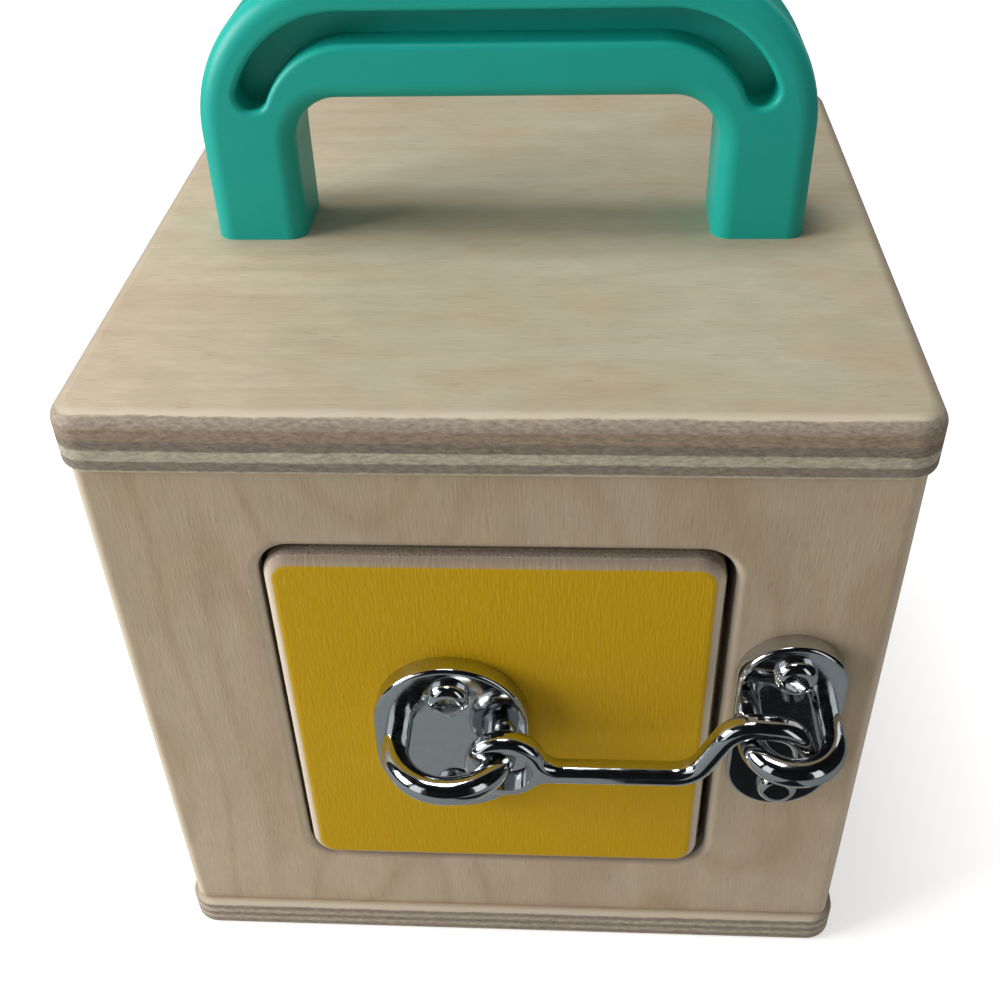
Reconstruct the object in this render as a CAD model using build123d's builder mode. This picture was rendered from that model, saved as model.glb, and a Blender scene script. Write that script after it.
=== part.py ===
"""Wooden lock box: a plywood cube with a latched door in each side and a carrying handle on top.

Millimetres. +Z is up, the front faces -Y, and the origin is the middle of the underside.
"""

import os

from build123d import *

# Boards and walls
box_w = 148.6
board_over = 1.7
board_r = 6.0
top_t = 12.2
top_round = 3.2
bottom_t = 8.8
board_round = 1.6
wall_t = 9.0
wall_h = 125.6
wall_r = 2.6
dowel_r = 3.0
dowel_in_wall = 10.0
dowel_in_board = 5.5

# Door openings, doors and their pivots
open_w = 88.0
open_h = 90.0
open_rise = 0.6
open_r = 6.5
arris_r = 1.9
door_out = 1.5
hinge_gap = 0.8
free_gap = 1.6
top_gap = 1.2
bottom_gap = 0.7
door_r = 5.5
door_round = 2.8
pivot_in = 8.0
pin_r = 1.5
pin_in_door = 8.0
pin_end_gap = 0.5
running_gap = 0.05
stop_w = 12.0
stop_h = 44.0
stop_t = 8.0
stop_lap = 5.0
stop_gap = 0.2

# Handle
handle_set = 14.1
handle_leg_w = 18.7
handle_d = 20.0
handle_h = 51.5
handle_grip_t = 23.3
handle_outer_r = 30.0
handle_inner_r = 9.0
handle_round = 3.8
groove_out = 6.8
groove_side = 6.0
groove_under = 10.8
groove_inner_r = 18.0
groove_depth = 7.6
groove_drop = 24.9
groove_end_r = 2.9
groove_soft = 1.2
handle_screw_y = 5.0
handle_screw_r = 2.0
handle_screw_in = 15.0
handle_head_r = 4.0
handle_head_t = 2.6
handle_head_bevel = 1.5

# Hook latch on the front
plate_t = 4.0
plate_round = 0.9
screw_head_r = 4.1
screw_head_t = 2.5
screw_dome = 2.0
screw_r = 1.3
screw_in = 6.5
eye_in = 53.5
eye_drop = 0.7
eye_plate_w = 31.0
eye_plate_h = 40.5
eye_screw_gap = 26.4
eye_loop_half = 10.7
eye_loop_rise = 2.3
eye_loop_reach = 18.2
keeper_in = 2.7
keeper_rise = 3.0
keeper_plate_w = 21.0
keeper_plate_h = 45.0
keeper_screw_gap = 31.6
keeper_loop_half = 7.6
keeper_loop_rise = 3.6
keeper_loop_reach = 17.6
loop_t = 5.5
hook_out = 8.9
hook_t = 5.0
hook_h = 4.4
hook_eye_side = 0.4
hook_eye_drop = 1.2
hook_eye_r = 8.1
hook_hole_r = 5.4
hook_neck_r = 4.0
hook_arm_drop = 2.0
hook_soft = 2.1
hook_bend = 6.6
hook_run_up = 10.6
hook_crest_in = 3.6
hook_crest_out = 8.2
hook_tip_out = 9.6
hook_crest_fall = 1.2
hook_tip_drop = 6.6
hook_lap = 1.2

# Barrel bolt on the right
small_head_r = 2.9
small_head_t = 1.6
small_dome = 1.2
bolt_in = 28.5
bolt_plate_t = 1.8
bolt_plate_w = 50.0
bolt_plate_h = 30.0
bolt_plate_r = 3.0
bolt_screw_in = 5.0
bolt_r = 3.0
bolt_axis_out = 7.0
bolt_guide_w = 7.0
bolt_guide_h = 11.0
bolt_guide_gap = 25.0
bolt_guide_in = 7.5
bolt_l = 50.0
bolt_nose = 1.5
bolt_bevel = 0.6
bolt_knob_r = 2.4
bolt_knob_out = 7.0
bolt_knob_in = 0.4
bolt_knob_soft = 1.4
bolt_throw = 12.0
bolt_keeper_in = 8.5
bolt_keeper_w = 13.0
bolt_keeper_screw_in = 4.0
keeper_play = 0.4

# Turn button and knob on the left
button_in = 3.6
button_l = 40.0
button_w = 13.0
button_t = 3.0
button_soft = 1.2
button_pin_r = 2.0
washer_t = 1.9
washer_r = 5.0
knob_r = 9.0
knob_stem_r = 5.4
knob_out = 15.0
knob_stem_out = 7.0
knob_soft = 3.0
knob_in = 26.0
knob_screw_in = 9.0

# Hasp at the back
hasp_t = 1.8
hasp_h = 20.0
hasp_in = 14.0
hasp_pin_r = 1.25
hasp_knuckle_r = 3.2
hasp_leaf_w = 22.0
hasp_strap_past = 12.5
hasp_end_r = 4.0
hasp_joint_gap = 0.25
hasp_screw_in = 4.0
hasp_screw_side = 4.5
hasp_staple_in = 0.6
hasp_staple_w = 18.0
hasp_staple_h = 34.0
hasp_staple_t = 3.2
hasp_staple_screw_in = 3.6
hasp_lift = 0.4
hasp_loop_t = 3.6
hasp_loop_half = 4.8
hasp_loop_reach = 14.4
hasp_slot_room = 2.8
hasp_slot_r = 1.8

# Sizes that follow
board_w = box_w + 2 * board_over
wall_z = bottom_t
roof_z = bottom_t + wall_h
top_z = roof_z + top_t
inner_w = box_w - 2 * wall_t
open_z = wall_z + wall_h / 2 + open_rise
stile_x = (open_w + box_w) / 4
door_t = wall_t - stop_gap + door_out
door_w = open_w - hinge_gap - free_gap
door_h = open_h - top_gap - bottom_gap
door_x = (hinge_gap - free_gap) / 2
door_z = open_z + (bottom_gap - top_gap) / 2
pivot_x = -open_w / 2 + hinge_gap + pivot_in
pivot_y = -(box_w / 2 + door_out - door_t / 2)
handle_w = box_w - 2 * handle_set
handle_gap_w = handle_w - 2 * handle_leg_w
handle_gap_h = handle_h - handle_grip_t
groove_foot = handle_h - groove_drop
handle_screw_x = (handle_w + handle_gap_w) / 4
eye_x = open_w / 2 - eye_in
eye_z = open_z - eye_drop
eye_loop_z = eye_z + eye_loop_rise
keeper_x = stile_x - keeper_in
keeper_z = open_z + keeper_rise
keeper_loop_z = keeper_z + keeper_loop_rise
hook_mid = hook_out + hook_t / 2
hook_eye_x = eye_x + eye_loop_half + hook_eye_side
hook_eye_z = eye_loop_z - hook_eye_drop
hook_arm_z = hook_eye_z - hook_arm_drop
hook_start_x = hook_eye_x + hook_eye_r + 2 * hook_neck_r
limb_x = keeper_x - keeper_loop_half
crest_z = keeper_loop_z + loop_t / 2 + hook_lap + hook_h / 2
bolt_x = open_w / 2 - bolt_in
bolt_end = bolt_x + bolt_plate_w / 2 + bolt_nose
bolt_axis = door_out + bolt_axis_out
guide_x = [bolt_x + bolt_plate_w / 2 - bolt_guide_in - gap for gap in (0, bolt_guide_gap)]
bolt_keeper_x = open_w / 2 + bolt_keeper_in
button_x = stile_x - button_in
knob_x = open_w / 2 - knob_in
hasp_pin_x = open_w / 2 - hasp_in
hasp_axis_out = door_out + hasp_knuckle_r
hasp_strap_out = hasp_staple_t + hasp_lift
hasp_staple_x = stile_x - hasp_staple_in
slot_w = 2 * (hasp_loop_half + hasp_slot_room) + hasp_loop_t
slot_h = hasp_loop_t + hasp_slot_room
leaf_x = hasp_pin_x - hasp_knuckle_r - hasp_joint_gap - hasp_leaf_w / 2
knuckle = hasp_h / 3
side_names = ("front", "right", "back", "left")
sides = {name: place * 360 / len(side_names) for place, name in enumerate(side_names)}

# Where the screws go, in each side's own x and height
eye_screws = [(eye_x, eye_z + up * eye_screw_gap / 2) for up in (-1, 1)]
keeper_screws = [(keeper_x, keeper_z + up * keeper_screw_gap / 2) for up in (-1, 1)]
bolt_screws = [
    (bolt_x + x * (bolt_plate_w / 2 - bolt_screw_in), open_z + up * (bolt_plate_h / 2 - bolt_screw_in))
    for x in (-1, 1)
    for up in (-1, 1)
]
bolt_keeper_screws = [
    (bolt_keeper_x, open_z + up * (bolt_plate_h / 2 - bolt_keeper_screw_in))
    for up in (-1, 1)
]
button_screws = [(button_x, open_z)]
knob_screws = [(knob_x, open_z)]
hasp_screws = [(leaf_x - hasp_screw_side, open_z + up * (hasp_h / 2 - hasp_screw_in)) for up in (-1, 1)]
staple_screws = [(hasp_staple_x, open_z + up * (hasp_staple_h / 2 - hasp_staple_screw_in)) for up in (-1, 1)]
stile_screws = {
    "front": (keeper_screws, screw_r),
    "right": (bolt_keeper_screws, screw_r),
    "back": (staple_screws, screw_r),
    "left": (button_screws, button_pin_r),
}

os.makedirs("parts", exist_ok=True)


def outward(turn):
    """Direction that one side faces."""
    return Vector(0, -1, 0).rotate(Axis.Z, turn)


def across(turn):
    """Direction to the right, seen from outside one side."""
    return Vector(1, 0, 0).rotate(Axis.Z, turn)


def face(turn, out=0.0):
    """Plane along a wall's outer face: x right and y up as seen from outside, z outward."""
    return Plane(origin=outward(turn) * (box_w / 2 + out), x_dir=across(turn), z_dir=outward(turn))


def level(turn, z, up=1):
    """Level plane in a side's directions; with up=-1 its y runs outward from the wall's face."""
    if up > 0:
        return Plane(origin=(0, 0, z), x_dir=across(turn), z_dir=(0, 0, 1))
    return Plane(origin=outward(turn) * (box_w / 2) + Vector(0, 0, z), x_dir=across(turn), z_dir=(0, 0, -1))


def end_plane(turn, x, z, out):
    """Plane across a side's x direction, with its x outward and its y up."""
    origin = across(turn) * x + outward(turn) * (box_w / 2 + out) + Vector(0, 0, z)
    return Plane(origin=origin, x_dir=outward(turn), z_dir=across(turn) * -1)


def outer_face(part, turn):
    """Face of a part that lies furthest out on its side."""
    return part.faces().sort_by(Axis((0, 0, 0), tuple(outward(turn))))[-1]


def save(part, label):
    """Name one piece and write it."""
    part.part.label = label
    export_step(part.part, f"parts/{label}.step")


def dowel_spots():
    """Middles of the dowels in the four walls, seen from above."""
    reach = (box_w - wall_t) / 2
    return [across(turn) * x + outward(turn) * reach for turn in sides.values() for x in (-stile_x, stile_x)]


def make_wall(turn, screws, radius):
    """Mitred wall with its door opening, pivot holes, dowel holes and holes for its fittings' screws."""
    with BuildPart() as wall:
        with BuildSketch(level(turn, wall_z)):
            RectangleRounded(box_w, box_w, wall_r)
            Rectangle(inner_w, inner_w, mode=Mode.SUBTRACT)
            with BuildLine():
                Polyline((0, 0), (-box_w, -box_w), (box_w, -box_w), close=True)
            make_face(mode=Mode.INTERSECT)
        extrude(amount=wall_h)
        with BuildSketch(face(turn)):
            with Locations((0, open_z)):
                RectangleRounded(open_w, open_h, open_r)
        extrude(amount=-2 * wall_t, mode=Mode.SUBTRACT)
        fillet(outer_face(wall, turn).inner_wires()[0].edges(), arris_r)
        with BuildSketch(level(turn, wall_z)):
            with Locations((pivot_x, pivot_y)):
                Circle(pin_r)
        extrude(amount=wall_h, mode=Mode.SUBTRACT)
        for z, depth in ((wall_z, dowel_in_wall), (roof_z, -dowel_in_wall)):
            with BuildSketch(level(turn, z)):
                with Locations((-stile_x, -(box_w - wall_t) / 2), (stile_x, -(box_w - wall_t) / 2)):
                    Circle(dowel_r)
            extrude(amount=depth, mode=Mode.SUBTRACT)
        with BuildSketch(face(turn)):
            with Locations(*screws):
                Circle(radius)
        extrude(amount=-screw_in, mode=Mode.SUBTRACT)
    return wall


def make_door(turn, screws):
    """Inset door with rounded edges, pivot bores and holes for its fittings' screws."""
    with BuildPart() as door:
        with BuildSketch(face(turn, door_out - door_t)):
            with Locations((door_x, door_z)):
                RectangleRounded(door_w, door_h, door_r)
        extrude(amount=door_t)
        faces = door.faces().sort_by(Axis((0, 0, 0), tuple(outward(turn))))
        fillet(faces[0].edges() + faces[-1].edges(), door_round)
        for z, deep in ((door_z - door_h / 2, 1), (door_z + door_h / 2, -1)):
            with BuildSketch(level(turn, z)):
                with Locations((pivot_x, pivot_y)):
                    Circle(pin_r + running_gap)
            extrude(amount=deep * (pin_in_door + pin_end_gap), mode=Mode.SUBTRACT)
        with BuildSketch(face(turn, door_out)):
            with Locations(*screws):
                Circle(screw_r)
        extrude(amount=-screw_in, mode=Mode.SUBTRACT)
    return door


def make_pins(turn):
    """Two steel pivot pins, driven through the rails into the door's bores."""
    with BuildPart() as pins:
        for start, end in (
            (wall_z, door_z - door_h / 2 + pin_in_door),
            (door_z + door_h / 2 - pin_in_door, roof_z),
        ):
            with BuildSketch(level(turn, start)):
                with Locations((pivot_x, pivot_y)):
                    Circle(pin_r)
            extrude(amount=end - start)
    return pins


def make_stop(turn):
    """Block glued behind the free jamb, which the door closes against."""
    with BuildPart() as stop:
        with BuildSketch(face(turn, -wall_t)):
            with Locations((open_w / 2 - stop_lap + stop_w / 2, open_z)):
                Rectangle(stop_w, stop_h)
        extrude(amount=-stop_t)
    return stop


def make_screws(turn, wood, plate, spots, head=(screw_head_r, screw_head_t, screw_dome)):
    """Dome-headed screws through a plate that lies on wood `wood` out from the wall's face."""
    with BuildPart() as screws:
        with BuildSketch(face(turn, wood + plate)):
            with Locations(*spots):
                Circle(head[0])
        extrude(amount=head[1])
        rims = screws.edges().filter_by(GeomType.CIRCLE)
        fillet(rims.group_by(Axis((0, 0, 0), tuple(outward(turn))))[-1], head[2])
        with BuildSketch(face(turn, wood + plate)):
            with Locations(*spots):
                Circle(screw_r)
        extrude(amount=-(plate + screw_in))
    return screws


def make_staple(turn, wood, x, z, size, screws, half, reach, loop_z, wire=loop_t):
    """Oblong base plate on wood `wood` out from the wall's face, with a loop that stands out of it."""
    width, height, thick = size
    with BuildPart() as staple:
        with BuildSketch(face(turn, wood)):
            with Locations((x, z)):
                SlotOverall(height, width, rotation=90)
        extrude(amount=thick)
        fillet(outer_face(staple, turn).edges(), plate_round)
        with BuildSketch(face(turn, wood)):
            with Locations(*screws):
                Circle(screw_r)
        extrude(amount=thick, mode=Mode.SUBTRACT)
        root = wood + thick / 2
        tip = wood + reach
        with BuildLine(level(turn, loop_z, -1)) as loop:
            limb = Line((x - half, root), (x - half, tip - half))
            bow = ThreePointArc(limb @ 1, (x, tip), (x + half, tip - half))
            Line(bow @ 1, (x + half, root))
        with BuildSketch(face(turn, root)):
            with Locations((x - half, loop_z)):
                Circle(wire / 2)
        sweep(path=loop.line)
    return staple


# Boards
with BuildPart() as bottom_board:
    with BuildSketch():
        RectangleRounded(board_w, board_w, board_r)
    extrude(amount=bottom_t)
    fillet(bottom_board.faces().sort_by(Axis.Z)[0].edges(), board_round)
    fillet(bottom_board.faces().sort_by(Axis.Z)[-1].edges(), board_round)
    with BuildSketch(Plane.XY.offset(bottom_t)):
        with Locations(*[(spot.X, spot.Y) for spot in dowel_spots()]):
            Circle(dowel_r)
    extrude(amount=-dowel_in_board, mode=Mode.SUBTRACT)
save(bottom_board, "bottom_board")

screw_points = [(x, y) for x in (-handle_screw_x, handle_screw_x) for y in (-handle_screw_y, handle_screw_y)]
with BuildPart() as top_board:
    with BuildSketch(Plane.XY.offset(roof_z)):
        RectangleRounded(board_w, board_w, board_r)
    extrude(amount=top_t)
    fillet(top_board.faces().sort_by(Axis.Z)[-1].edges(), top_round)
    fillet(top_board.faces().sort_by(Axis.Z)[0].edges(), board_round)
    with BuildSketch(Plane.XY.offset(roof_z)):
        with Locations(*[(spot.X, spot.Y) for spot in dowel_spots()]):
            Circle(dowel_r)
    extrude(amount=dowel_in_board, mode=Mode.SUBTRACT)
    with BuildSketch(Plane.XY.offset(roof_z)):
        with Locations(*screw_points):
            Circle(handle_screw_r)
    extrude(amount=top_t, mode=Mode.SUBTRACT)
save(top_board, "top_board")

for board, z in (("bottom", wall_z), ("top", roof_z)):
    below, above = (dowel_in_board, dowel_in_wall) if board == "bottom" else (dowel_in_wall, dowel_in_board)
    with BuildPart() as dowels:
        with BuildSketch(Plane.XY.offset(z - below)):
            with Locations(*[(spot.X, spot.Y) for spot in dowel_spots()]):
                Circle(dowel_r)
        extrude(amount=below + above)
    save(dowels, f"{board}_dowels")

# Walls, pivot pins and door stops
for side, turn in sides.items():
    save(make_wall(turn, *stile_screws[side]), f"{side}_wall")
    save(make_pins(turn), f"{side}_pins")
    save(make_stop(turn), f"{side}_stop")


# Carrying handle: an arch with a groove along both faces
def arch_sketch(plane, width, height, radius, mode=Mode.ADD):
    """Upright on the top board with two round upper corners."""
    with BuildSketch(plane, mode=Mode.PRIVATE) as arch:
        with Locations((0, top_z + height / 2)):
            Rectangle(width, height)
        fillet(arch.vertices().group_by(Axis.Y)[-1], radius)
    add(arch.sketch, mode=mode)


with BuildPart() as handle:
    back_plane = Plane.XZ.offset(-handle_d / 2)
    with BuildSketch(back_plane):
        arch_sketch(back_plane, handle_w, handle_h, handle_outer_r)
        arch_sketch(back_plane, handle_gap_w, handle_gap_h, handle_inner_r, Mode.SUBTRACT)
    extrude(amount=handle_d)
    rims = handle.faces().sort_by(Axis.Y)
    feet = handle.faces().sort_by(Axis.Z)[:2]
    fillet((rims[0].edges() + rims[-1].edges()) - feet.edges(), handle_round)
    for side in (-1, 1):
        plane = Plane.XZ.offset(-side * handle_d / 2)
        with BuildSketch(plane) as groove:
            arch_sketch(plane, handle_w - 2 * groove_out, handle_h - groove_out, handle_outer_r - groove_out)
            arch_sketch(
                plane,
                handle_gap_w + 2 * groove_side,
                handle_gap_h + groove_under,
                groove_inner_r,
                Mode.SUBTRACT,
            )
            with Locations((0, top_z + groove_foot / 2)):
                Rectangle(handle_w, groove_foot, mode=Mode.SUBTRACT)
            fillet(groove.vertices().group_by(Axis.Y)[0], groove_end_r)
        extrude(amount=side * groove_depth, mode=Mode.SUBTRACT)
        fillet(handle.faces().sort_by(Axis.Y)[0 if side < 0 else -1].inner_wires()[0].edges(), groove_soft)
    with BuildSketch(Plane.XY.offset(top_z)):
        with Locations(*screw_points):
            Circle(handle_screw_r)
    extrude(amount=handle_screw_in, mode=Mode.SUBTRACT)
save(handle, "handle")

with BuildPart() as handle_screws:
    with BuildSketch(Plane.XY.offset(roof_z)):
        with Locations(*screw_points):
            Circle(handle_head_r)
    extrude(amount=-handle_head_t)
    chamfer(handle_screws.edges().group_by(Axis.Z)[0], handle_head_bevel)
    with BuildSketch(Plane.XY.offset(roof_z)):
        with Locations(*screw_points):
            Circle(handle_screw_r)
    extrude(amount=top_t + handle_screw_in)
save(handle_screws, "handle_screws")

# Front: hook, eye on the door and keeper on the stile
front = sides["front"]
save(make_door(front, eye_screws), "front_door")
eye_size = (eye_plate_w, eye_plate_h, plate_t)
eye_plate = make_staple(
    front, door_out, eye_x, eye_z, eye_size, eye_screws,
    eye_loop_half, eye_loop_reach, eye_loop_z,
)
save(eye_plate, "eye_plate")
save(make_screws(front, door_out, plate_t, eye_screws), "eye_screws")

keeper_size = (keeper_plate_w, keeper_plate_h, plate_t)
keeper_plate = make_staple(
    front, 0, keeper_x, keeper_z, keeper_size, keeper_screws,
    keeper_loop_half, keeper_loop_reach, keeper_loop_z,
)
save(keeper_plate, "keeper_plate")
save(make_screws(front, 0, plate_t, keeper_screws), "keeper_screws")

with BuildPart() as hook:
    with BuildSketch(face(front, hook_out)) as ring:
        with Locations((hook_eye_x, hook_eye_z)):
            Circle(hook_eye_r)
        with Locations(((hook_eye_x + hook_start_x) / 2, hook_arm_z)):
            Rectangle(hook_start_x - hook_eye_x, hook_h)
        fillet(ring.vertices().sort_by(Axis.X)[-4:-2], hook_neck_r)
    extrude(amount=hook_t)
    fillet(hook.edges() - hook.faces().sort_by(Axis.X)[-1].edges(), hook_soft)
    with BuildLine(face(front, hook_mid)) as shank:
        FilletPolyline(
            (hook_start_x, hook_arm_z),
            (limb_x - hook_run_up, hook_arm_z),
            (limb_x - hook_crest_in, crest_z),
            (limb_x + hook_crest_out, crest_z - hook_crest_fall),
            (limb_x + hook_tip_out, crest_z - hook_tip_drop),
            radius=hook_bend,
        )
    with BuildSketch(end_plane(front, hook_start_x, hook_arm_z, hook_mid)):
        RectangleRounded(hook_t, hook_h, hook_soft)
    sweep(path=shank.line)
    with BuildSketch(face(front, hook_out)):
        with Locations((hook_eye_x, hook_eye_z)):
            Circle(hook_hole_r)
    extrude(amount=hook_t, mode=Mode.SUBTRACT)
save(hook, "hook")

# Right: barrel bolt that slides into a keeper on the stile
right = sides["right"]
small_head = (small_head_r, small_head_t, small_dome)
save(make_door(right, bolt_screws), "right_door")


def make_guide(wood, x, width, screws, guides, bore):
    """Plate with raised guides that the bolt runs through."""
    with BuildPart() as plate:
        with BuildSketch(face(right, wood)):
            with Locations((x, open_z)):
                RectangleRounded(width, bolt_plate_h, bolt_plate_r)
            with Locations(*screws):
                Circle(screw_r, mode=Mode.SUBTRACT)
        extrude(amount=bolt_plate_t)
        base = wood + bolt_plate_t
        for guide in guides:
            with BuildSketch(end_plane(right, guide + bolt_guide_w / 2, open_z, 0)):
                with Locations(((bolt_axis + base) / 2, 0)):
                    Rectangle(bolt_axis - base, bolt_guide_h)
                with Locations((bolt_axis, 0)):
                    Circle(bolt_guide_h / 2)
                    Circle(bore, mode=Mode.SUBTRACT)
            extrude(amount=bolt_guide_w)
    return plate


save(make_guide(door_out, bolt_x, bolt_plate_w, bolt_screws, guide_x, bolt_r + running_gap), "bolt_plate")
save(make_screws(right, door_out, bolt_plate_t, bolt_screws, small_head), "bolt_screws")
bolt_keeper = make_guide(
    0, bolt_keeper_x, bolt_keeper_w, bolt_keeper_screws, [bolt_keeper_x], bolt_r + keeper_play
)
save(bolt_keeper, "bolt_keeper")
save(make_screws(right, 0, bolt_plate_t, bolt_keeper_screws, small_head), "bolt_keeper_screws")

with BuildPart() as bolt:
    with BuildSketch(end_plane(right, bolt_end, open_z, bolt_axis)):
        Circle(bolt_r)
    extrude(amount=bolt_l)
    chamfer(bolt.edges().filter_by(GeomType.CIRCLE), bolt_bevel)
    with BuildSketch(face(right, bolt_axis)):
        with Locations((guide_x[1] + bolt_guide_w / 2 + bolt_knob_r + bolt_knob_in, open_z)):
            Circle(bolt_knob_r)
    extrude(amount=bolt_knob_out)
    fillet(outer_face(bolt, right).edges(), bolt_knob_soft)
save(bolt, "bolt")

# Left: turn button on the stile and a knob on the door
left = sides["left"]
save(make_door(left, knob_screws), "left_door")
button_out = washer_t + button_t
with BuildPart() as turn_button:
    with BuildSketch(face(left, washer_t)):
        with Locations((button_x, open_z)):
            SlotOverall(button_l, button_w, rotation=90)
            Circle(button_pin_r + running_gap, mode=Mode.SUBTRACT)
    extrude(amount=button_t)
    fillet(outer_face(turn_button, left).outer_wire().edges(), button_soft)
save(turn_button, "turn_button")

with BuildPart() as button_washer:
    with BuildSketch(face(left)):
        with Locations((button_x, open_z)):
            Circle(washer_r)
            Circle(button_pin_r, mode=Mode.SUBTRACT)
    extrude(amount=washer_t)
save(button_washer, "button_washer")

with BuildPart() as button_screw:
    with BuildSketch(face(left, button_out + running_gap)):
        with Locations((button_x, open_z)):
            Circle(small_head_r)
    extrude(amount=small_head_t)
    fillet(outer_face(button_screw, left).edges(), small_dome)
    with BuildSketch(face(left, button_out + running_gap)):
        with Locations((button_x, open_z)):
            Circle(button_pin_r)
    extrude(amount=-(button_out + running_gap + screw_in))
save(button_screw, "button_screw")

with BuildPart() as left_knob:
    with BuildSketch(face(left, door_out)):
        with Locations((knob_x, open_z)):
            Circle(knob_stem_r)
    extrude(amount=knob_stem_out)
    with BuildSketch(face(left, door_out + knob_stem_out)):
        with Locations((knob_x, open_z)):
            Circle(knob_r)
    extrude(amount=knob_out - knob_stem_out)
    rounds = left_knob.edges().filter_by(GeomType.CIRCLE)
    fillet(rounds.filter_by(lambda edge: edge.radius > knob_stem_r + running_gap), knob_soft)
    with BuildSketch(face(left, door_out)):
        with Locations((knob_x, open_z)):
            Circle(screw_r)
    extrude(amount=knob_screw_in, mode=Mode.SUBTRACT)
save(left_knob, "left_knob")

with BuildPart() as knob_screw:
    with BuildSketch(face(left, door_out - screw_in)):
        with Locations((knob_x, open_z)):
            Circle(screw_r)
    extrude(amount=screw_in + knob_screw_in)
save(knob_screw, "knob_screw")

# Back: hasp whose strap closes over a staple
back = sides["back"]
save(make_door(back, hasp_screws), "back_door")


def make_leaf(out, far, bands, gaps, bore, screws=(), slots=()):
    """Half of the hasp: a flat leaf from the pin to `far`, with its share of the knuckles and its holes."""
    with BuildPart() as leaf:
        with BuildSketch(face(back, out)):
            with Locations(((hasp_pin_x + far) / 2, open_z)):
                Rectangle(abs(far - hasp_pin_x), hasp_h)
        extrude(amount=hasp_t)
        corners = leaf.edges().filter_by(Axis((0, 0, 0), tuple(outward(back))))
        ends = corners.sort_by(Axis((0, 0, 0), tuple(across(back))))
        fillet(ends[-2:] if far > hasp_pin_x else ends[:2], hasp_end_r)
        for middle in gaps:
            with BuildSketch(face(back)):
                with Locations((hasp_pin_x, open_z + middle)):
                    Rectangle(2 * (hasp_knuckle_r + hasp_joint_gap), knuckle + 2 * hasp_joint_gap)
            extrude(amount=out + 2 * hasp_t, mode=Mode.SUBTRACT)
        for middle in bands:
            with BuildSketch(level(back, open_z + middle - knuckle / 2, -1)):
                with Locations((hasp_pin_x, hasp_axis_out)):
                    Circle(hasp_knuckle_r)
            extrude(amount=-knuckle)
        with BuildSketch(level(back, open_z - hasp_h / 2, -1)):
            with Locations((hasp_pin_x, hasp_axis_out)):
                Circle(bore)
        extrude(amount=-hasp_h, mode=Mode.SUBTRACT)
        with BuildSketch(face(back, out)):
            for spot in screws:
                with Locations(spot):
                    Circle(screw_r)
            for spot in slots:
                with Locations(spot):
                    RectangleRounded(slot_w, slot_h, hasp_slot_r)
        extrude(amount=hasp_t, mode=Mode.SUBTRACT)
    return leaf


hasp_leaf = make_leaf(
    door_out, hasp_pin_x - hasp_leaf_w, (-knuckle, knuckle), (0,), hasp_pin_r, screws=hasp_screws
)
save(hasp_leaf, "hasp_leaf")

strap_bore = hasp_pin_r + running_gap
strap_end = hasp_staple_x + hasp_strap_past
hasp_strap = make_leaf(
    hasp_strap_out, strap_end, (0,), (-knuckle, knuckle), strap_bore, slots=[(hasp_staple_x, open_z)]
)
save(hasp_strap, "hasp_strap")

with BuildPart() as hasp_pin:
    with BuildSketch(level(back, open_z - hasp_h / 2, -1)):
        with Locations((hasp_pin_x, hasp_axis_out)):
            Circle(hasp_pin_r)
    extrude(amount=-hasp_h)
save(hasp_pin, "hasp_pin")
save(make_screws(back, door_out, hasp_t, hasp_screws, small_head), "hasp_screws")

staple_size = (hasp_staple_w, hasp_staple_h, hasp_staple_t)
hasp_staple = make_staple(
    back, 0, hasp_staple_x, open_z, staple_size, staple_screws,
    hasp_loop_half, hasp_loop_reach, open_z, hasp_loop_t,
)
save(hasp_staple, "hasp_staple")
save(make_screws(back, 0, hasp_staple_t, staple_screws, small_head), "staple_screws")
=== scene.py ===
"""Wooden lock box: a finish for every piece, the studio and the camera.

Metres, in the frame of the solids. Patterns are sized in millimetres.
"""

import math

import bpy
from mathutils import Matrix, Vector

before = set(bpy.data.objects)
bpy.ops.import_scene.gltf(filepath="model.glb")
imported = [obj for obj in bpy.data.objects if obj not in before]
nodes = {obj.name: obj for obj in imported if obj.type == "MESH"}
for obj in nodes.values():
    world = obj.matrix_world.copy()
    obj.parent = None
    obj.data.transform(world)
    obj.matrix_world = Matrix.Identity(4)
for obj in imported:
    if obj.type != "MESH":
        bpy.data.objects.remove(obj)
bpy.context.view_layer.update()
scene = bpy.context.scene
scene.view_settings.view_transform = "Standard"

MM = 0.001
ACROSS = (1, 0, 0)
UP = (0, 0, 1)
DOWN = (0, 0, -1)
ways = {"front": (0, -1, 0), "right": (1, 0, 0), "back": (0, 1, 0), "left": (-1, 0, 0)}


def ink(code):
    """Linear colour from an sRGB hex value."""
    parts = [int(code[i:i + 2], 16) / 255 for i in (1, 3, 5)]
    return [c / 12.92 if c <= 0.04045 else ((c + 0.055) / 1.055) ** 2.4 for c in parts] + [1.0]


def add(tree, kind, sockets=None, **settings):
    """Add one shader node; `sockets` maps its inputs to values or to outputs of other nodes.

    Map Range has the value at 0, the range it comes from at 1 and 2, and the range it goes to at 3 and 4.
    Mix has the factor at 0, and what it mixes at 2 and 3, or for colours at 6 and 7.
    """
    node = tree.nodes.new(kind)
    for key, value in settings.items():
        setattr(node, key, value)
    for key, value in (sockets or {}).items():
        if isinstance(value, bpy.types.NodeSocket):
            tree.links.new(value, node.inputs[key])
        else:
            node.inputs[key].default_value = value
    return node


def blank(name):
    """New material with its shader, and the coordinates of the object it is on, in millimetres."""
    material = bpy.data.materials.new(name)
    material.use_nodes = True
    tree = material.node_tree
    shader = tree.nodes["Principled BSDF"]
    place = add(tree, "ShaderNodeTexCoord").outputs["Object"]
    place = add(tree, "ShaderNodeVectorMath", {0: place, "Scale": 1 / MM}, operation="SCALE").outputs[0]
    return material, tree, shader, place


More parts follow.
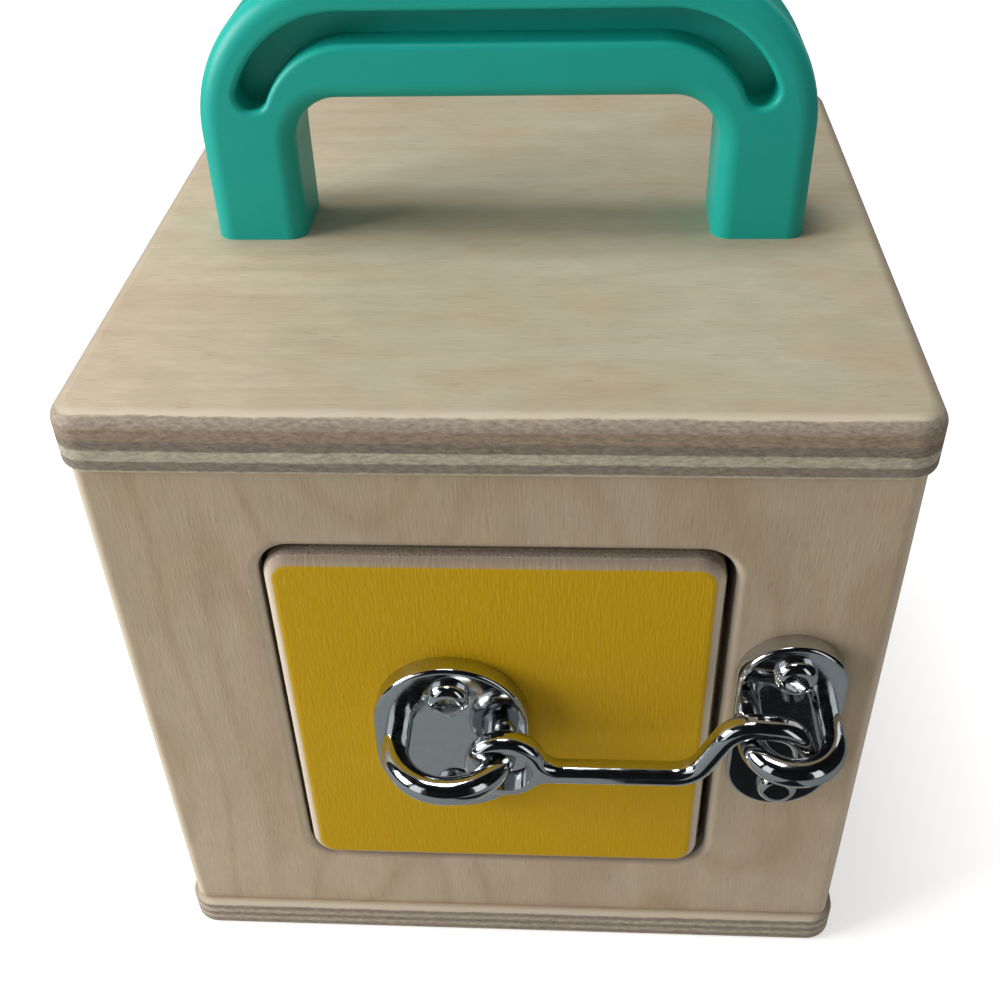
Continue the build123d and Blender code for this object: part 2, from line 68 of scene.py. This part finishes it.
# Plies through a board, from its outer face in: where each starts, as a part of the thickness, and its tint
top_plies = [
    (0.0, "#bdb39d"), (0.055, "#a39686"), (0.22, "#9c8875"), (0.41, "#877a6d"),
    (0.575, "#b6ad98"), (0.75, "#8b7f72"), (0.91, "#b8ae99"),
]
even_plies = [
    (0.0, "#b8ac97"), (0.15, "#94877a"), (0.29, "#b2a690"), (0.43, "#8f8173"),
    (0.57, "#b5a993"), (0.71, "#94877a"), (0.85, "#b8ac97"),
]
ply_blur = 0.012

# Patterns in birch and its paint, in millimetres across the grain, along it and through the board. Real fibres
# and pores are finer, and are drawn as coarse as they need to show.
tone_cell = (26, 70, 40)
streak_cell = (2.6, 75, 9)
blush_cell = (13, 24, 20)
ring_cell = (38, 130, 60)
mottle_cell = (6, 10, 7)
fibre_cell = (0.4, 4.5, 2)
pore_cell = (0.35, 4.5, 2)
sway_cell = (30, 24, 30)
fray_cell = (1.3, 3.2, 1.3)
grit_cell = (0.6, 1.5, 0.5)
patch_cell = (30, 26, 30)
crack_cell = (0.32, 4.5, 5)
pebble_cell = (0.8, 1.5, 4)
sway_mm = 0.7
fray_mm = 0.55
ring_count = 8.0

# Places along the grain, in millimetres, between which the veneer turns paler, and how far its streaks reach
# over them. On the top this is sapwood. On the walls it is painted light, paler towards the foot of each wall,
# standing in for light bounced up from the floor
top_sap = (-28, -66)
wall_painted_foot_light = (120, -40)
sapwood_and_light_streak = 60.0


def veneer_colour(tree, noise, along, axes, tones, sapwood_and_foot_light, figure):
    """Face veneer: its colour, its streaks, and the relief of its fibres and pores."""
    across_axis, grain_axis = axes
    pale, deep = [ink(code) for code in tones]
    streak = noise(streak_cell, 3.0, 0.6)
    pore = noise(pore_cell, 1.0)
    fibre = noise(fibre_cell, 3.0, 0.65)
    blend = add(tree, "ShaderNodeMath", {0: streak, 1: 0.55, 2: noise(tone_cell)}, operation="MULTIPLY_ADD")
    blend = add(tree, "ShaderNodeMapRange", {0: blend.outputs[0], 1: 0.45, 2: 1.10}).outputs[0]
    layers = []
    # paler band along the grain: sapwood on the top board; on the walls, painted light that brightens the
    # foot, standing in for light bounced up from the floor
    if sapwood_and_foot_light:
        start, end = [place + sapwood_and_light_streak / 2 for place in sapwood_and_foot_light]
        sapwood_and_foot_light_share = add(tree, "ShaderNodeMath", {0: streak, 1: sapwood_and_light_streak, 2: along}, operation="MULTIPLY_ADD")
        sapwood_and_foot_light_share = add(tree, "ShaderNodeMapRange", {0: sapwood_and_foot_light_share.outputs[0], 1: start, 2: end, 4: 0.7})
        layers.append((sapwood_and_foot_light_share, "#d0bea5"))

    # faint reddish clouds, soft lines where the veneer cuts the growth rings, and short dark pores
    blush = add(tree, "ShaderNodeMapRange", {0: noise(blush_cell, 3.0), 1: 0.50, 2: 0.74, 4: 0.28})
    ring = add(tree, "ShaderNodeMath", {0: noise(ring_cell, 1.0), 1: ring_count}, operation="MULTIPLY")
    ring = add(tree, "ShaderNodeMath", {0: ring.outputs[0], 1: 0.5}, operation="PINGPONG")
    ring = add(tree, "ShaderNodeMapRange", {0: ring.outputs[0], 1: 0.30, 2: 0.50, 4: figure})
    fleck = add(tree, "ShaderNodeMapRange", {0: pore, 1: 0.66, 2: 0.76, 4: 0.30})
    layers += [(blush, "#b3926f"), (ring, "#9a8060"), (fleck, "#7d6c55")]
    colour = add(tree, "ShaderNodeMix", {0: blend, 6: pale, 7: deep}, data_type="RGBA").outputs[2]
    for share, tint in layers:
        tints = {0: share.outputs[0], 6: colour, 7: ink(tint)}
        colour = add(tree, "ShaderNodeMix", tints, data_type="RGBA").outputs[2]

    # lighter and darker fibres
    thread = add(tree, "ShaderNodeMath", {0: fibre, 1: 1.3, 2: noise(mottle_cell)}, operation="MULTIPLY_ADD")
    thread = add(tree, "ShaderNodeMapRange", {0: thread.outputs[0], 1: 0.75, 2: 1.55, 3: 0.92, 4: 1.08})
    shaded = {0: colour, "Scale": thread.outputs[0]}
    colour = add(tree, "ShaderNodeVectorMath", shaded, operation="SCALE").outputs[0]

    # painted highlight: a sanded rounding that runs along the grain is painted paler, as its rim would catch
    # the light;
    # where the fibres end in it, it is as dark as the plies
    facing = add(tree, "ShaderNodeTexCoord").outputs["Normal"]
    for axis, tint in ((across_axis, "#dccfba"), (grain_axis, "#a29182")):
        lean = add(tree, "ShaderNodeVectorMath", {0: facing, 1: axis}, operation="DOT_PRODUCT")
        lean = add(tree, "ShaderNodeMath", {0: lean.outputs["Value"]}, operation="ABSOLUTE")
        lean = add(tree, "ShaderNodeMapRange", {0: lean.outputs[0], 1: 0.10, 2: 0.70, 4: 0.85})
        tints = {0: lean.outputs[0], 6: colour, 7: ink(tint)}
        colour = add(tree, "ShaderNodeMix", tints, data_type="RGBA").outputs[2]
    relief = add(tree, "ShaderNodeMath", {0: fibre, 1: 0.7, 2: pore}, operation="MULTIPLY_ADD").outputs[0]
    return colour, streak, relief


def cut_colour(tree, noise, depth, thick, plies):
    """Cut edge: the colour of its plies, how deep a point lies as a part of the thickness, and its grit."""
    level = depth
    for cell, detail, rough, amount in ((sway_cell, 2.0, 0.5, sway_mm), (fray_cell, 3.0, 0.7, fray_mm)):
        stray = add(tree, "ShaderNodeMath", {0: noise(cell, detail, rough), 1: 0.5}, operation="SUBTRACT")
        moved = {0: stray.outputs[0], 1: amount, 2: level}
        level = add(tree, "ShaderNodeMath", moved, operation="MULTIPLY_ADD").outputs[0]
    level = add(tree, "ShaderNodeMath", {0: level, 1: thick}, operation="DIVIDE").outputs[0]
    stops = []
    for start, tint in plies:
        if stops:
            stops.append((start - ply_blur, stops[-1][1]))
        stops.append((start + ply_blur, tint))
    ramp = add(tree, "ShaderNodeValToRGB", {0: level})
    elements = ramp.color_ramp.elements
    while len(elements) < len(stops):
        elements.new(1.0)
    for element, (position, tint) in zip(elements, stops):
        element.position = position
        element.color = ink(tint)
    grit = noise(grit_cell, 3.0, 0.7)
    shade = add(tree, "ShaderNodeMapRange", {0: grit, 1: 0.3, 2: 0.7, 3: 0.66, 4: 1.28})
    shaded = {0: ramp.outputs[0], "Scale": shade.outputs[0]}
    colour = add(tree, "ShaderNodeVectorMath", shaded, operation="SCALE").outputs[0]
    return colour, level, grit


# Brushed paint on birch: an even coat with fine lighter ridges along the grain, worn off at the rounded edge
def paint_coat(tree, noise, depth, grit, colour, relief, paint):
    """Colour and relief of a board with paint on its outer face."""
    body, shadow, light = [ink(code) for code in paint]
    patch = noise(patch_cell, 1.0)
    ridge = add(tree, "ShaderNodeMapRange", {0: noise(crack_cell, 2.0, 0.6), 1: 0.54, 2: 0.72, 4: 0.55})
    where = add(tree, "ShaderNodeMapRange", {0: patch, 1: 0.35, 2: 0.65, 3: 0.15, 4: 0.75})
    ridge = add(tree, "ShaderNodeMath", {0: ridge.outputs[0], 1: where.outputs[0]}, operation="MULTIPLY")
    ridge = ridge.outputs[0]
    coat = add(tree, "ShaderNodeMix", {0: patch, 6: body, 7: shadow}, data_type="RGBA").outputs[2]
    coat = add(tree, "ShaderNodeMix", {0: ridge, 6: coat, 7: light}, data_type="RGBA").outputs[2]
    worn = add(tree, "ShaderNodeMath", {0: grit, 1: 0.16, 2: depth}, operation="MULTIPLY_ADD")
    bare = add(tree, "ShaderNodeMapRange", {0: worn.outputs[0], 1: 0.16, 2: 0.30}).outputs[0]
    colour = add(tree, "ShaderNodeMix", {0: bare, 6: coat, 7: colour}, data_type="RGBA").outputs[2]
    for height, share in ((noise(pebble_cell, 2.0, 0.6), 1.2), (ridge, 0.8)):
        raised = {0: height, 1: share, 2: relief}
        relief = add(tree, "ShaderNodeMath", raised, operation="MULTIPLY_ADD").outputs[0]
    return colour, relief


# Birch plywood, pale and lacquered: long soft grain on the face veneer, and on every cut edge the plies of the
# board in turn, light where they run along the edge and grey brown where they end in it
def birch(
    name, board, outward, grain,
    tones=("#baa990", "#ae9a7d"), plies=even_plies, paint=None, sapwood_and_foot_light=None, figure=0.26,
):
    """Plywood of a board whose outer face looks along `outward`; paint covers that face alone.

    Its veneer turns paler where told: sapwood on the top, and painted light at the foot of a wall, standing in
    for light bounced up from the floor. It shows its growth rings as strongly as `figure` says.
    """
    material, tree, shader, place = blank(name)
    outward = Vector(outward)
    grain = Vector(grain)
    heights = [outward.dot(Vector(corner)) / MM for corner in nodes[board].bound_box]
    face = max(heights)
    thick = face - min(heights)
    axes = (outward.cross(grain), grain, outward)
    spots = [
        add(tree, "ShaderNodeVectorMath", {0: place, 1: axis}, operation="DOT_PRODUCT").outputs["Value"]
        for axis in axes
    ]
    depth = add(tree, "ShaderNodeMath", {0: face, 1: spots[2]}, operation="SUBTRACT").outputs[0]

    def noise(cell, detail=2.0, rough=0.5):
        """Noise with cells so many millimetres across the grain, along it and through the board."""
        parts = [
            add(tree, "ShaderNodeMath", {0: spot, 1: size}, operation="DIVIDE").outputs[0]
            for spot, size in zip(spots, cell)
        ]
        spot = add(tree, "ShaderNodeCombineXYZ", dict(enumerate(parts))).outputs[0]
        sockets = {"Vector": spot, "Scale": 1.0, "Detail": detail, "Roughness": rough}
        return add(tree, "ShaderNodeTexNoise", sockets).outputs["Fac"]

    veneer, streak, relief = veneer_colour(tree, noise, spots[1], axes[:2], tones, sapwood_and_foot_light, figure)
    cut, level, grit = cut_colour(tree, noise, depth, thick, plies)

    # the outer ply and the inner one are veneer
    skin_t = plies[1][0]
    middle = add(tree, "ShaderNodeMath", {0: level, 1: 0.5}, operation="SUBTRACT")
    middle = add(tree, "ShaderNodeMath", {0: middle.outputs[0]}, operation="ABSOLUTE").outputs[0]
    skin = add(tree, "ShaderNodeMapRange", {0: middle, 1: 0.5 - skin_t, 2: 0.5 - 0.8 * skin_t}).outputs[0]
    colour = add(tree, "ShaderNodeMix", {0: skin, 6: cut, 7: veneer}, data_type="RGBA").outputs[2]
    relief = add(tree, "ShaderNodeMix", {0: skin, 2: grit, 3: relief}).outputs[0]
    if paint:
        colour, relief = paint_coat(tree, noise, depth, grit, colour, relief, paint)

    sheen = add(tree, "ShaderNodeMapRange", {0: streak, 1: 0.3, 2: 0.7, 3: 0.50, 4: 0.66}).outputs[0]
    strength = 0.6 if paint else 0.4
    bump = add(tree, "ShaderNodeBump", {"Height": relief, "Strength": strength, "Distance": 0.12 * MM})
    tree.links.new(colour, shader.inputs["Base Color"])
    tree.links.new(sheen, shader.inputs["Roughness"])
    tree.links.new(bump.outputs[0], shader.inputs["Normal"])
    shader.inputs["Specular IOR Level"].default_value = 0.12 if paint else 0.2
    return material


# Beech, turned or sawn: warm pale brown with short darker flecks along the grain
def beech(name, grain):
    """Beech whose fibres run along one axis."""
    band_mm = 2.0
    fleck_mm = 0.375
    stretch = 10.0
    material, tree, shader, place = blank(name)
    lengths = [stretch if part else 1.0 for part in grain]
    cells = add(tree, "ShaderNodeVectorMath", {0: place, 1: lengths}, operation="DIVIDE").outputs[0]
    band = {"Vector": cells, "Scale": 1 / band_mm, "Detail": 3.0}
    band = add(tree, "ShaderNodeTexNoise", band).outputs["Fac"]
    ray = {"Vector": cells, "Scale": 1 / fleck_mm, "Detail": 1.0}
    ray = add(tree, "ShaderNodeTexNoise", ray).outputs["Fac"]
    fleck = add(tree, "ShaderNodeMapRange", {0: ray, 1: 0.60, 2: 0.72, 4: 0.5}).outputs[0]
    base = {0: band, 6: ink("#c9a67c"), 7: ink("#b08c62")}
    base = add(tree, "ShaderNodeMix", base, data_type="RGBA").outputs[2]
    base = {0: fleck, 6: base, 7: ink("#8a6542")}
    base = add(tree, "ShaderNodeMix", base, data_type="RGBA").outputs[2]
    bump = add(tree, "ShaderNodeBump", {"Height": band, "Strength": 0.12, "Distance": 0.1 * MM})
    tree.links.new(base, shader.inputs["Base Color"])
    tree.links.new(bump.outputs[0], shader.inputs["Normal"])
    shader.inputs["Roughness"].default_value = 0.5
    shader.inputs["Specular IOR Level"].default_value = 0.3
    return material


# Mirror chrome on cast zinc: near-black and white reflections, slightly wavy, with faint smudges
def chrome(name):
    """Plated casting."""
    wave_mm = 6.25
    smudge_mm = 2.0
    material, tree, shader, place = blank(name)
    wave = {"Vector": place, "Scale": 1 / wave_mm, "Detail": 1.0}
    wave = add(tree, "ShaderNodeTexNoise", wave).outputs["Fac"]
    smear = {"Vector": place, "Scale": 1 / smudge_mm, "Detail": 4.0}
    smear = add(tree, "ShaderNodeTexNoise", smear).outputs["Fac"]
    gloss = add(tree, "ShaderNodeMapRange", {0: smear, 1: 0.35, 2: 0.75, 3: 0.05, 4: 0.16})
    tint = add(tree, "ShaderNodeMix", {0: smear, 6: ink("#d3d6d8"), 7: ink("#c2c6c9")}, data_type="RGBA")
    bump = add(tree, "ShaderNodeBump", {"Height": wave, "Strength": 0.12, "Distance": 0.6 * MM})
    tree.links.new(tint.outputs[2], shader.inputs["Base Color"])
    tree.links.new(gloss.outputs[0], shader.inputs["Roughness"])
    tree.links.new(bump.outputs[0], shader.inputs["Normal"])
    shader.inputs["Metallic"].default_value = 1.0
    return material


# Bright zinc-plated steel: grey, with fine turning marks
def steel(name):
    """Plated pin or screw; the marks lie close together up its height."""
    mark_mm = (2.5, 2.5, 0.35)
    material, tree, shader, place = blank(name)
    cells = add(tree, "ShaderNodeVectorMath", {0: place, 1: mark_mm}, operation="DIVIDE").outputs[0]
    mark = add(tree, "ShaderNodeTexNoise", {"Vector": cells, "Scale": 1.0, "Detail": 3.0}).outputs["Fac"]
    tint = add(tree, "ShaderNodeMix", {0: mark, 6: ink("#b4b8bb"), 7: ink("#8f9498")}, data_type="RGBA")
    gloss = add(tree, "ShaderNodeMapRange", {0: mark, 1: 0.3, 2: 0.7, 3: 0.24, 4: 0.42})
    tree.links.new(tint.outputs[2], shader.inputs["Base Color"])
    tree.links.new(gloss.outputs[0], shader.inputs["Roughness"])
    shader.inputs["Metallic"].default_value = 1.0
    return material


# Moulded plastic, satin: even colour with a faint clouding and the fine grain of the mould
def plastic(name, pale, deep):
    """Plastic between two close tints."""
    cloud_mm = 16.667
    grain_mm = 0.4545
    material, tree, shader, place = blank(name)
    cloud = {"Vector": place, "Scale": 1 / cloud_mm, "Detail": 2.0}
    cloud = add(tree, "ShaderNodeTexNoise", cloud).outputs["Fac"]
    grain = {"Vector": place, "Scale": 1 / grain_mm, "Detail": 2.0}
    grain = add(tree, "ShaderNodeTexNoise", grain).outputs["Fac"]
    tint = add(tree, "ShaderNodeMix", {0: cloud, 6: ink(pale), 7: ink(deep)}, data_type="RGBA")
    gloss = add(tree, "ShaderNodeMapRange", {0: grain, 1: 0.3, 2: 0.7, 3: 0.36, 4: 0.46})
    bump = add(tree, "ShaderNodeBump", {"Height": grain, "Strength": 0.10, "Distance": 0.06 * MM})
    tree.links.new(tint.outputs[2], shader.inputs["Base Color"])
    tree.links.new(gloss.outputs[0], shader.inputs["Roughness"])
    tree.links.new(bump.outputs[0], shader.inputs["Normal"])
    shader.inputs["Specular IOR Level"].default_value = 0.35
    return material


# Which finish each piece has; a paint is its body, its patches and its lighter ridges
paints = {
    "front": ("#c89e08", "#c49c12", "#d6b43a"),
    "right": ("#b02a20", "#a8261e", "#c94a3c"),
    "back": ("#1f5aa6", "#1c5298", "#3f78bd"),
    "left": ("#3f8f35", "#38842f", "#5fa952"),
}
finish = {
    "top_board": birch(
        "birch_plywood_top", "top_board", UP, ACROSS,
        tones=("#bcb39c", "#b2a68b"), plies=top_plies, sapwood_and_foot_light=top_sap, figure=0.10,
    ),
    "bottom_board": birch("birch_plywood_bottom", "bottom_board", DOWN, ACROSS),
}
for side, way in ways.items():
    wall = side + "_wall"
    door = side + "_door"
    # each wall's veneer is painted paler towards its foot: painted light, standing in for light bounced up
    # from the floor
    finish[wall] = birch("birch_plywood_" + side, wall, way, UP, sapwood_and_foot_light=wall_painted_foot_light)
    finish[door] = birch("painted_birch_" + side, door, way, UP, paint=paints[side])
bright = chrome("chrome_plated_zinc")
plated = steel("zinc_plated_steel")
upright = beech("beech_upright", UP)
turned = beech("beech_turned", ACROSS)
teal = plastic("teal_moulded_plastic", "#18b3a5", "#14a798")
for label, node in nodes.items():
    if label in finish:
        material = finish[label]
    elif label in ("handle", "turn_button"):
        material = teal
    elif label.endswith(("_dowels", "_stop")):
        material = upright
    elif label == "left_knob":
        material = turned
    elif label.endswith("_pins") or label in ("hasp_pin", "handle_screws", "knob_screw", "button_washer"):
        material = plated
    else:
        material = bright
    node.data.materials.clear()
    node.data.materials.append(material)

# Studio: a lamp overhead and one at the left, even light from all round, a white sheet, and cloths that only
# show in polished surfaces
box_middle = Vector((0, 0, 0.12))
lamps = {
    "soft_top": ((-0.12, 0.04, 0.98), 0.32, 3.8),
    "soft_left": ((-0.90, -0.30, 0.46), 0.45, 8.8),
}
for name, (place, size, power) in lamps.items():
    lamp = bpy.data.lights.new(name, "AREA")
    lamp.shape = "SQUARE"
    lamp.size = size
    lamp.energy = power
    holder = bpy.data.objects.new(name, lamp)
    scene.collection.objects.link(holder)
    holder.location = place
    holder.rotation_euler = (box_middle - Vector(place)).to_track_quat("-Z", "Y").to_euler()


def seen_ray(tree):
    """1 for a ray from the camera, in a reflection or through something clear, and 0 for any other."""
    rays = add(tree, "ShaderNodeLightPath").outputs
    seen = {0: rays["Is Camera Ray"], 1: rays["Is Transmission Ray"]}
    seen = add(tree, "ShaderNodeMath", seen, operation="MAXIMUM").outputs[0]
    seen = {0: seen, 1: rays["Is Glossy Ray"]}
    return add(tree, "ShaderNodeMath", seen, operation="MAXIMUM").outputs[0]


room_light = 0.25
world = bpy.data.worlds.new("studio")
scene.world = world
world.use_nodes = True
tree = world.node_tree
room = add(tree, "ShaderNodeBackground", {"Color": ink("#ffffff"), "Strength": room_light})
white = add(tree, "ShaderNodeBackground", {"Color": ink("#ffffff"), "Strength": 1.0})
both = add(tree, "ShaderNodeMixShader", {0: seen_ray(tree), 1: room.outputs[0], 2: white.outputs[0]})
tree.links.new(both.outputs[0], tree.nodes["World Output"].inputs["Surface"])


def sheet(name, size, place, tilt, material):
    """Flat stage piece."""
    bpy.ops.mesh.primitive_plane_add(size=1.0, location=place, rotation=tilt)
    piece = bpy.context.object
    piece.name = name
    piece.data.transform(Matrix.Diagonal((*size, 1.0, 1.0)))
    piece.data.materials.append(material)
    return piece


# Matte white paper under the box: keeps its shadow, and brightens with distance until it meets the white room
near_mm = 250.0
far_mm = 1200.0
floor_w = 6.0
floor_drop = 0.2 * MM
flat = (0, 0, 0)
paper, tree, shader, place = blank("white_paper_sheet")
reach = add(tree, "ShaderNodeVectorMath", {0: place}, operation="LENGTH").outputs["Value"]
even = add(tree, "ShaderNodeMapRange", {0: reach, 1: near_mm, 2: far_mm, 3: 0.56, 4: 0.80}).outputs[0]
lift = add(tree, "ShaderNodeMath", {0: seen_ray(tree), 1: even}, operation="MULTIPLY").outputs[0]
tree.links.new(lift, shader.inputs["Emission Strength"])
shader.inputs["Base Color"].default_value = ink("#f4f4f2")
shader.inputs["Roughness"].default_value = 0.9
sheet("floor", (floor_w, floor_w), (0, 0, -floor_drop), flat, paper)

# Dull cotton cloths that chrome reflects as dark fields: grey close to the box, and black further out, above,
# and in a strip before the keeper
cloths = {}
for name, tint in (("grey_cloth", "#8f9597"), ("black_cloth", "#1d1f21")):
    cloths[name], tree, shader, place = blank(name)
    shader.inputs["Base Color"].default_value = ink(tint)
    shader.inputs["Roughness"].default_value = 1.0
    shader.inputs["Specular IOR Level"].default_value = 0.0
near_out = 0.25
far_out = 0.72
hung_out = 1.0
hung = [
    ("cloth_above", (2.0, 1.7), (0, -0.15, 1.10), flat, "black_cloth"),
    ("cloth_keeper", (0.055, 0.27), (0.055, -0.25, 0.005), flat, "black_cloth"),
]
for side, (x, y, z) in ways.items():
    about = math.atan2(x, -y)
    laid = (0, 0, about)
    stood = (math.pi / 2, 0, about)
    hung += [
        ("cloth_near_" + side, (0.9, 0.34), (near_out * x, near_out * y, 0.004), laid, "grey_cloth"),
        ("cloth_far_" + side, (1.3, 0.60), (far_out * x, far_out * y, 0.003), laid, "black_cloth"),
        ("cloth_" + side, (1.5, 1.1), (hung_out * x, hung_out * y, 0.55), stood, "black_cloth"),
    ]
for name, size, place, tilt, cloth in hung:
    piece = sheet(name, size, place, tilt, cloths[cloth])
    piece.visible_camera = False
    piece.visible_diffuse = False
    piece.visible_shadow = False
    piece.visible_transmission = False

# Camera at the photograph's viewing angle: its place in millimetres, its angles, and its lens in pixels
eye_mm = Vector((13.9, -246.7, 260.9))
pitch, yaw, roll = [math.radians(angle) for angle in (-39.7, 4.24, 1.98)]
lens_px = 1247.9
picture_px = 1000
lens = bpy.data.cameras.new("camera")
lens.sensor_width = 36.0
lens.lens = lens_px / picture_px * lens.sensor_width
lens.shift_y = 0.05
lens.clip_start = 0.01
camera = bpy.data.objects.new("camera", lens)
scene.collection.objects.link(camera)
turn = Matrix.Rotation(yaw, 4, "Z") @ Matrix.Rotation(math.pi / 2 + pitch, 4, "X")
turn = turn @ Matrix.Rotation(-roll, 4, "Z")
camera.matrix_world = Matrix.Translation(eye_mm * MM) @ turn
scene.camera = camera
